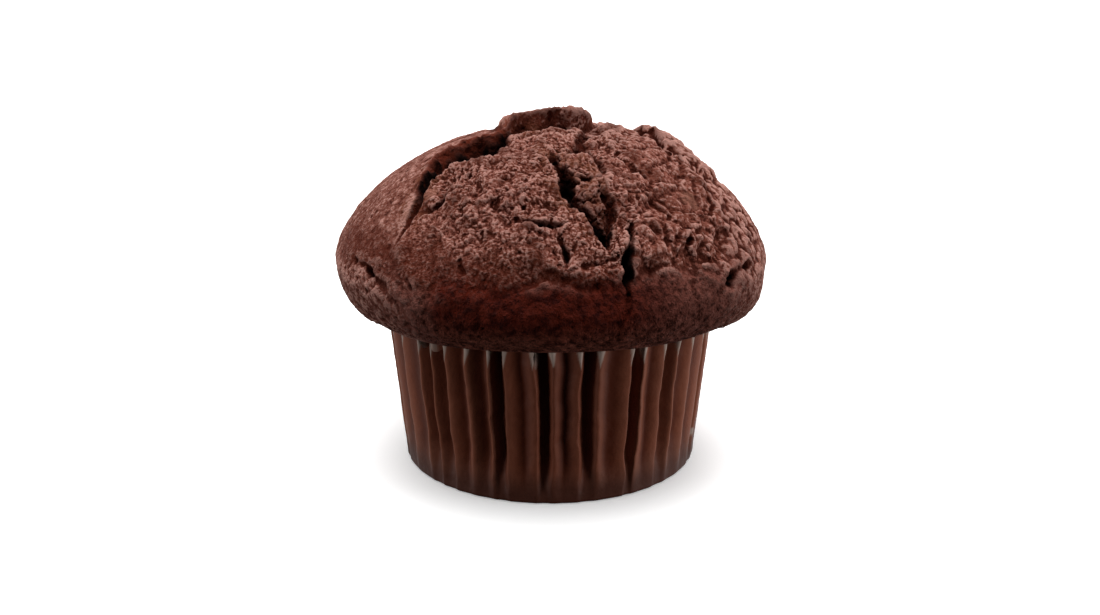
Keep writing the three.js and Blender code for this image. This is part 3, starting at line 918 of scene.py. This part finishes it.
def map_places(section, places):
    """Where places of the cake are on the map, and 1 where they are on its cap."""
    radius = np.hypot(places[:, 0], places[:, 1])
    azimuth = np.arctan2(places[:, 0], -places[:, 1])
    length = section.length_near(radius, places[:, 2])
    on_cap = smooth_step(section.whole - 1.0, section.whole - 3.0, length)
    outside = radius > case_radius(RIM_HEIGHT) - 2.5
    on_cap = np.where(outside, on_cap, np.where(places[:, 2] > 40, 1, 0))
    return length * np.sin(azimuth), -length * np.cos(azimuth), length, azimuth, on_cap


def fine_relief(section, places):
    """The crumb's and the crust's small lumps, creases and pores, as a rise at each place."""
    x, y, length, azimuth, on_cap = map_places(section, places)
    cracked = np.clip(cap_relief(x, y)[1] / 1.5, 0, 1)
    jag_x, jag_y = jagged(x, y)
    torn = np.maximum(inside_outline(TORN_OUTLINE, jag_x, jag_y, 1.6), cracked)
    crinkled = inside_outline(CRINKLED_OUTLINE, jag_x, jag_y, 4.0)
    torn = np.maximum(torn, 0.9 * crinkled)
    crumbly = np.maximum(crinkled, smooth_step(4.5, 1.5, nearest_on(CENTRE_CRACK, x, y)[0]))
    wander = np.stack([layered_noise(places, 2.6, 3, salt) for salt in (11, 12, 13)], 1)

    clods, clod_number = pebbles(places + 1.2 * wander, CLOD_SIZE, 21, 0.8)
    grains, _ = pebbles(places + 0.5 * wander, GRAIN_SIZE, 41, 0.3)
    broken = crumbs(places + 0.7 * wander, CRUMB_SIZE, 3, 57, 0.7)
    rough = layered_noise(places + 0.3 * wander, ROUGH_SIZE, 4, 67, 0.74)

    # The crumb is weaker where it fades into crust, on the plates at the right and on the pale lumps.
    strength = 0.95 + 0.4 * soft_noise(places, 5.0, 51)
    strength *= mix(0.3, 1, smooth_step(0, FADING_WIDTH, nearest_on_line(FADING_EDGE, x, y)[0]))
    strength *= mix(1, 0.38, plated(crinkled, x)) * mix(1, 0.3, on_pale_lump(x, y))
    crumb = mix(0.12, 0.40, crumbly) * (clods - 1) + mix(0.40, 0.45, crumbly) * (clod_number - 0.5)
    crumb += ROUGH_HEIGHT * rough + CRUMB_HEIGHT * (broken - LUMP_MIDDLE) + GRAIN_HEIGHT * (grains - 1)
    crumb += CRUMB_RISE
    pit_near, _, pit_number = cells(places + 0.5 * wander, PIT_SIZE, 75)
    crumb -= PIT_DEPTH * (pit_number > 0.8) * smooth_step(0.55, 0.15, pit_near)

    crust = RIPPLE_HEIGHT * layered_noise(places, RIPPLE_SIZE, 3, 61) + 0.07 * soft_noise(places, 0.9, 62)
    crust = crust + 0.08 * (grains - 1)
    front_skirt = smooth_step(36, 40, length) * smooth_step(1.3, 0.9, np.abs(azimuth))
    crust += front_skirt * (0.45 * rough + 0.20 * (broken - LUMP_MIDDLE))
    dent_near, _, dent_number = cells(places, DENT_SIZE, 71)
    crust -= DENT_DEPTH * (dent_number > 0.55) * smooth_step(0.95, 0.2, dent_near)
    pore_near, _, pore_number = cells(places, PORE_SIZE, 73)
    crust -= PORE_DEPTH * (pore_number > 0.8) * smooth_step(0.34, 0.1, pore_near)
    return on_cap * (mix(crust, strength * crumb, torn) - 0.2)


def plated(crinkled, x):
    """How far the crinkled crust is made of plates, which it is at the right."""
    return crinkled * smooth_step(8.0, 13.0, x)


def on_pale_lump(x, y):
    """1 on the pale lumps, and 0 away from them."""
    return sum(smooth_step(1.2 * radius, 0.8 * radius, np.hypot(x - middle_x, y - middle_y))
               for middle_x, middle_y, radius in PALE_LUMPS)


def plain_share(section, places):
    """How much less detail each place of the cake needs, from 0 on the torn front to 1 inside the case."""
    x, y, length, azimuth, on_cap = map_places(section, places)
    behind = smooth_step(-0.1, 0.5, -np.cos(azimuth)) * smooth_step(3.0, 9.0, length)
    smooth = 1 - inside_outline(TORN_OUTLINE, x, y, 2.0)
    return np.clip(mix(1, np.maximum(0.7 * behind, 0.35 * smooth), on_cap), 0, 1)


def thin_out(piece, plainness):
    """Leaves the piece with few enough triangles, taken first from where it is plain."""
    faces = len(piece.data.polygons)
    group = piece.vertex_groups.new(name="thinned")
    for level in range(PLAIN_LEVELS + 1):
        chosen = np.flatnonzero(np.rint(plainness * PLAIN_LEVELS) == level)
        group.add(chosen.tolist(), level / PLAIN_LEVELS, "REPLACE")
    apply_modifier(piece, "DECIMATE", ratio=CAKE_TRIANGLES / (2 * faces), use_collapse_triangulate=True,
                   vertex_group="thinned", vertex_group_factor=THIN_FACTOR)
    piece.vertex_groups.clear()


def mark_cake(piece, section):
    """Stores on the cake's points what its finish follows, each from 0 to 1 apart from their level."""
    places = places_of(piece)
    normals = normals_of(piece)
    x, y, length, azimuth, _ = map_places(section, places)
    jag_x, jag_y = jagged(x, y)
    ragged = layered_noise(places, 2.6, 2, 14)
    cracked = cap_relief(x, y)[1]
    torn = inside_outline(TORN_OUTLINE, jag_x, jag_y, 1.6)
    crinkled = inside_outline(CRINKLED_OUTLINE, jag_x, jag_y, 4.0)
    in_ravine = inside_outline(RAVINE_OUTLINE, jag_x, jag_y, 0.8)

    # How far each point stands out from what is round it, near by and further off.
    near, broad, far = (((places - spread(piece, places, rounds)) * normals).sum(1) for rounds in (3, 12, 24))
    store(piece, "level", 6 * near + 2.5 * broad + 2.0 * far)
    store(piece, "torn", torn)
    store(piece, "grainy", torn * (1 - 0.85 * plated(crinkled, x)))
    store(piece, "pale", on_pale_lump(jag_x, jag_y))

    # The crumb beside the split and the centre crack, and in the ravine.
    to_split = nearest_on(CRUST_SPLIT[1:11], jag_x, jag_y)[0]
    to_crack = nearest_on(CENTRE_CRACK, jag_x, jag_y)[0]
    bank = smooth_step(4.0, 1.5, np.minimum(to_split, to_crack) + 1.5 * ragged)
    store(piece, "bank", np.maximum(bank * smooth_step(34, 30, length), in_ravine))

    # Painted shade on the front below a line, the skirt of crust below the crumb, painted bounce light on the
    # underside, and painted shade on the band at the front and its darkest part.
    away, side = nearest_on_line(FRONT_SHADE_LINE, jag_x, jag_y)
    store(piece, "front_shade", smooth_step(1.2, -2.4, side + 1.2 * ragged) * smooth_step(9.0, 6.0, away))
    store(piece, "skirt", (1 - torn) * smooth_step(30, 37, length))
    store(piece, "under", smooth_step(45, 53, length))
    across = smooth_step(-0.95, -0.55, azimuth) * smooth_step(1.25, 0.75, azimuth)
    store(piece, "band", (1 - torn) * smooth_step(34, 40, length + ragged) * across)
    across = smooth_step(-0.60, -0.46, azimuth + 0.04 * ragged) * smooth_step(0.70, 0.30, azimuth)
    store(piece, "lower", smooth_step(37.4, 41.8, length + 1.2 * ragged) * across)

    # The split's lit left wall, and the flap's torn face.
    away, side = nearest_on(CRUST_SPLIT[2:10], jag_x, jag_y)[:2]
    flank = smooth_step(0.0, 1.0, side) * smooth_step(5.5, 4.5, away)
    store(piece, "flank", flank)
    away, side = nearest_on(CRUST_SPLIT[9:15], jag_x, jag_y)[:2]
    face = smooth_step(-0.3, 0.2, side) * smooth_step(2.4, 1.4, away)
    store(piece, "face", face)

    # Painted shade where cracks, hollows and the ravine's lower end are dark, and where they are darkest.
    hollow = np.clip(-far * 1.3 - 0.15, 0, 0.95)
    hollow = np.maximum(hollow, 0.28 * in_ravine * smooth_step(-16, -27, y))
    dark = np.maximum(smooth_step(0.0, 0.5, hollow), smooth_step(0.2, 1.2, cracked))
    store(piece, "hollow", dark * (1 - 0.6 * face))
    deep = smooth_step(mix(0.9, 1.6, flank), mix(2.4, 5.0, flank), cracked)
    store(piece, "deep", np.maximum(smooth_step(0.4, 1.0, hollow), deep))


def make_cake():
    section = Section()
    piece = cake_body(section, rows=200, angles=720)
    apply_modifier(piece, "REMESH", mode="VOXEL", voxel_size=CAKE_VOXEL, adaptivity=0.0,
                   use_smooth_shade=True)
    places = places_of(piece)
    move_to(piece, places + normals_of(piece) * fine_relief(section, places)[:, None])
    thin_out(piece, plain_share(section, places))
    mark_cake(piece, section)
    move_to(piece, places_of(piece) * MM)
    bpy.ops.object.shade_smooth()
    piece.data.materials.clear()
    piece.data.materials.append(cake_finish())
    print("cake:", len(piece.data.polygons), "triangles")
    return piece


# ---------------------------------------------------------------- the paper case

def pleat_folds():
    """The azimuth and width of each panel between two outer folds, in radians."""
    state = 7
    widths = []
    for i in range(PLEAT_COUNT - len(FRONT_PLEAT_WIDTHS)):
        state = (state * 1664525 + 1013904223) % 2**32
        widths.append(1 + PLEAT_UNEVENNESS * ((1 if i % 2 else -1) + state / 2**32 - 0.5))
    scale = (360 - sum(FRONT_PLEAT_WIDTHS)) / sum(widths)
    widths = np.radians([*FRONT_PLEAT_WIDTHS, *(width * scale for width in widths)])
    starts = math.radians(FIRST_FRONT_FOLD) + np.concatenate([[0], np.cumsum(widths[:-1])])
    return starts, widths


def fold_depth(widths):
    """How deep each pleat's groove is: narrow panels are folded in deeper than wide ones."""
    half_chord = widths * case_radius(RIM_HEIGHT) / 2
    depth = np.sqrt(np.maximum(0, (PLEAT_PAPER_WIDTH / 2) ** 2 - half_chord**2))
    return np.clip(PLEAT_CARVING * depth, PANEL_SAG, PLEAT_CARVING * PLEAT_MAX_DEPTH)


def fold_shape(starts, widths, pleat, share):
    """The groove's depth across a pleat, from 0 at its outer folds to 1: some are round and some sharp."""
    order = np.arange(PLEAT_COUNT)
    chance = lattice_random(order, order * 0, order * 0, 85)
    middle = starts + widths / 2
    groove = 0.5 - 0.24 * np.sin(middle) * np.clip(np.abs(np.sin(middle)) * 3, 0, 1) + 0.16 * (chance - 0.5)
    power = mix(1.2, 2.2, lattice_random(order, order * 0, order * 0, 86))
    power = np.where(widths < NARROW_PLEAT, 3.2, power)[pleat]
    groove = groove[pleat]
    reach = np.where(share < groove, groove, 1 - groove) * widths[pleat] * CASE_BASE_RADIUS
    toward = np.where(share < groove, share / groove, (1 - share) / (1 - groove))
    soft = np.minimum(RIDGE_ROUND, 0.45 * reach)
    eased = (np.hypot(toward * reach, soft) - soft) / (np.hypot(reach, soft) - soft)
    return 1 - (1 - eased) ** power


def mark_paper(blank, azimuth, height, from_fold, fold, inner):
    """Stores on the paper's points what its finish follows: painted highlights on the folds and their tops,
    painted shade in the grooves and at the front, the foot and a beige fleck.
    """
    # Painted highlights on the folds' tops under the rim, and the beige fleck.
    from_rim = rim_height(azimuth) - height
    highlight_to = FOLD_TOP_HIGHLIGHT_WIDTH * (1 - from_rim / FOLD_TOP_HIGHLIGHT_HEIGHT)
    fold_top_highlight_and_fleck = smooth_step(0.15, -0.15, from_fold - highlight_to) * (from_rim < FOLD_TOP_HIGHLIGHT_HEIGHT)
    across = (azimuth - FLECK_AZIMUTH) * CASE_BASE_RADIUS / FLECK_WIDTH
    away = np.hypot(across, (height - FLECK_HEIGHT) / FLECK_LENGTH)
    fleck = smooth_step(0.7, 0.4, away) * (1 - inner)
    store(blank, "fold_top_highlight_and_fleck", np.maximum(fold_top_highlight_and_fleck, fleck))
    # Painted highlights along the folds, strongest at the sides.
    ridge_highlight = np.exp(-((from_fold / 1.3) ** 2)) * smooth_step(1, 6, height)
    store(blank, "ridge_highlight", ridge_highlight * mix(0.12, 1, np.abs(np.sin(azimuth))))
    # Painted shade in the grooves.
    store(blank, "deep", fold * smooth_step(1, 8, height))
    # Darker towards the foot, and painted shade at the front.
    in_front = 0.5 * np.maximum(0, np.cos(azimuth)) ** 3
    store(blank, "foot", np.maximum(smooth_step(11.0, 1.5, height), in_front))


def make_paper_case():
    starts, widths = pleat_folds()
    rim_ring = BASE_ROWS + LINING_ROWS
    base_ring = rim_ring + WALL_ROWS
    last_ring = base_ring + BASE_ROWS
    blank, ring, number = lathe_blank("paper_case", last_ring + 1, PLEAT_COUNT * PLEAT_STEPS)
    pleat, share = number // PLEAT_STEPS, number % PLEAT_STEPS / PLEAT_STEPS
    azimuth = starts[pleat] + widths[pleat] * share

    # Rings from the top pole: the lining's floor and wall up to the rim, then the wall down to the base.
    inner = ring < rim_ring
    up_inside = np.clip((ring - BASE_ROWS) / LINING_ROWS, 0, 1)
    up_outside = np.clip((base_ring - ring) / WALL_ROWS, 0, 1) ** 1.25
    floor = np.where(inner, PAPER_SHEET, 0.0)
    height = mix(floor, rim_height(azimuth), np.where(inner, up_inside, up_outside))

    bend = np.stack([4.0 * pleat, np.zeros(len(ring)), height], 1)
    next_bend = np.stack([4.0 * ((pleat + 1) % PLEAT_COUNT), np.zeros(len(ring)), height], 1)
    sway = mix(layered_noise(bend, 5.5, 3, 81), layered_noise(next_bend, 5.5, 3, 81), share)
    azimuth = azimuth + sway * PLEAT_SWAY / CASE_BASE_RADIUS * smooth_step(0, 5, height)

    # The folds fade towards the foot, and the paper is a little uneven and has a rounded lower corner.
    fold = fold_shape(starts, widths, pleat, share)
    inset = fold_depth(widths)[pleat] * fold * mix(FOOT_SHARE, 1, smooth_step(-1, FOOT_HEIGHT, height))
    inset = inset * mix(0.85, 1, height / 26)
    flat = np.stack([azimuth * 9, height * 1.6, np.cos(azimuth)], 1)
    inset = inset + 0.07 * (1 + layered_noise(flat, 2.4, 3, 91)) * smooth_step(0, 1, height)
    below_round = 1 - np.clip(height / CORNER_RADIUS, 0, 1)
    inset = inset + CORNER_RADIUS * (1 - np.sqrt(np.clip(1 - below_round**2, 0, 1)))
    radius = case_radius(height) - inset - np.where(inner, PAPER_SHEET, 0)
    to_centre = np.clip(np.where(inner, ring / BASE_ROWS, (last_ring - ring) / BASE_ROWS), 0, 1)

    from_fold = np.minimum(share, 1 - share) * widths[pleat] * CASE_BASE_RADIUS
    mark_paper(blank, azimuth, height, from_fold, fold, inner)
    wrap(blank, radius * to_centre, azimuth, height)
    move_to(blank, places_of(blank) * MM)
    bpy.ops.object.shade_smooth()
    blank.data.materials.append(paper_finish())
    print("paper case:", 2 * len(blank.data.polygons), "triangles at most")
    return blank


# ---------------------------------------------------------------- floor, lights and camera

def make_floor():
    bpy.ops.object.select_all(action="DESELECT")
    bpy.ops.mesh.primitive_grid_add(x_subdivisions=8, y_subdivisions=8, size=6.0)
    floor = bpy.context.object
    floor.name = "floor"
    floor.data.materials.append(stage_finish())
    floor.visible_diffuse = False
    floor.visible_glossy = False


def softbox(name, place, target, width, height, power):
    light = bpy.data.lights.new(name, "AREA")
    light.shape = "RECTANGLE"
    light.size = width
    light.size_y = height
    light.energy = power
    box = bpy.data.objects.new(name, light)
    bpy.context.scene.collection.objects.link(box)
    box.location = place
    towards = np.subtract(target, place)
    box.rotation_euler = (
        math.atan2(math.hypot(towards[0], towards[1]), -towards[2]), 0, math.atan2(-towards[0], towards[1]))


def make_lights():
    """Softboxes overhead and at both sides, in a white room whose table glows at the sides and behind."""
    world = bpy.data.worlds.new("white_room")
    bpy.context.scene.world = world
    world.use_nodes = True
    room = Nodes(world.node_tree)
    direction = room.node("ShaderNodeTexCoord", {}, {}, output="Generated")
    x, y, z = (room.node("ShaderNodeSeparateXYZ", {}, {"Vector": direction}, output=axis) for axis in "XYZ")
    above = room.span(z, 0.1, 0.65)
    sideways = room.node("ShaderNodeMath", {"operation": "ABSOLUTE"}, {0: x})
    overhead = above * room.span(y, -0.9, 0.2, ROOM_FRONT, 1.0)
    overhead = overhead * room.span(sideways, 0.2, 1.0, 1.0, ROOM_SIDES)
    aside = room.span(sideways + 0.8 * y, 0.2, 0.9)
    bounced = aside * room.span(z, -0.8, -0.45) * (1 - above) * (1 + 0.25 * x) * TABLE_STRENGTH
    # The camera sees the room as plain white.
    seen = room.node("ShaderNodeLightPath", {}, {}, output="Is Camera Ray")
    background = world.node_tree.nodes["Background"]
    background.inputs["Color"].default_value = (1, 1, 1, 1)
    room.feed(background.inputs["Strength"], (overhead + bounced) * (1 - seen) * ROOM_STRENGTH + seen)
    for name, place, width, height, power in SOFTBOXES:
        softbox(name, place, LIT_POINT, width, height, power)


def make_camera():
    camera = bpy.data.cameras.new("camera")
    camera.sensor_width = SENSOR_WIDTH
    camera.lens = LENS
    camera.clip_start = 0.01
    holder = bpy.data.objects.new("camera", camera)
    bpy.context.scene.collection.objects.link(holder)
    back, up = CAMERA_DISTANCE * math.cos(CAMERA_PITCH), CAMERA_DISTANCE * math.sin(CAMERA_PITCH)
    holder.location = (0, -back * MM, (CAMERA_AIM + up) * MM)
    holder.rotation_euler = (math.pi / 2 - CAMERA_PITCH, 0, 0)
    bpy.context.scene.camera = holder


# ---------------------------------------------------------------- the scene

bpy.context.scene.view_settings.view_transform = "Standard"
make_camera()
make_lights()
make_floor()

cake = make_cake()
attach(cake, "root")
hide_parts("cake")

paper_case = make_paper_case()
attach(paper_case, "root")
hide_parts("paper_case")
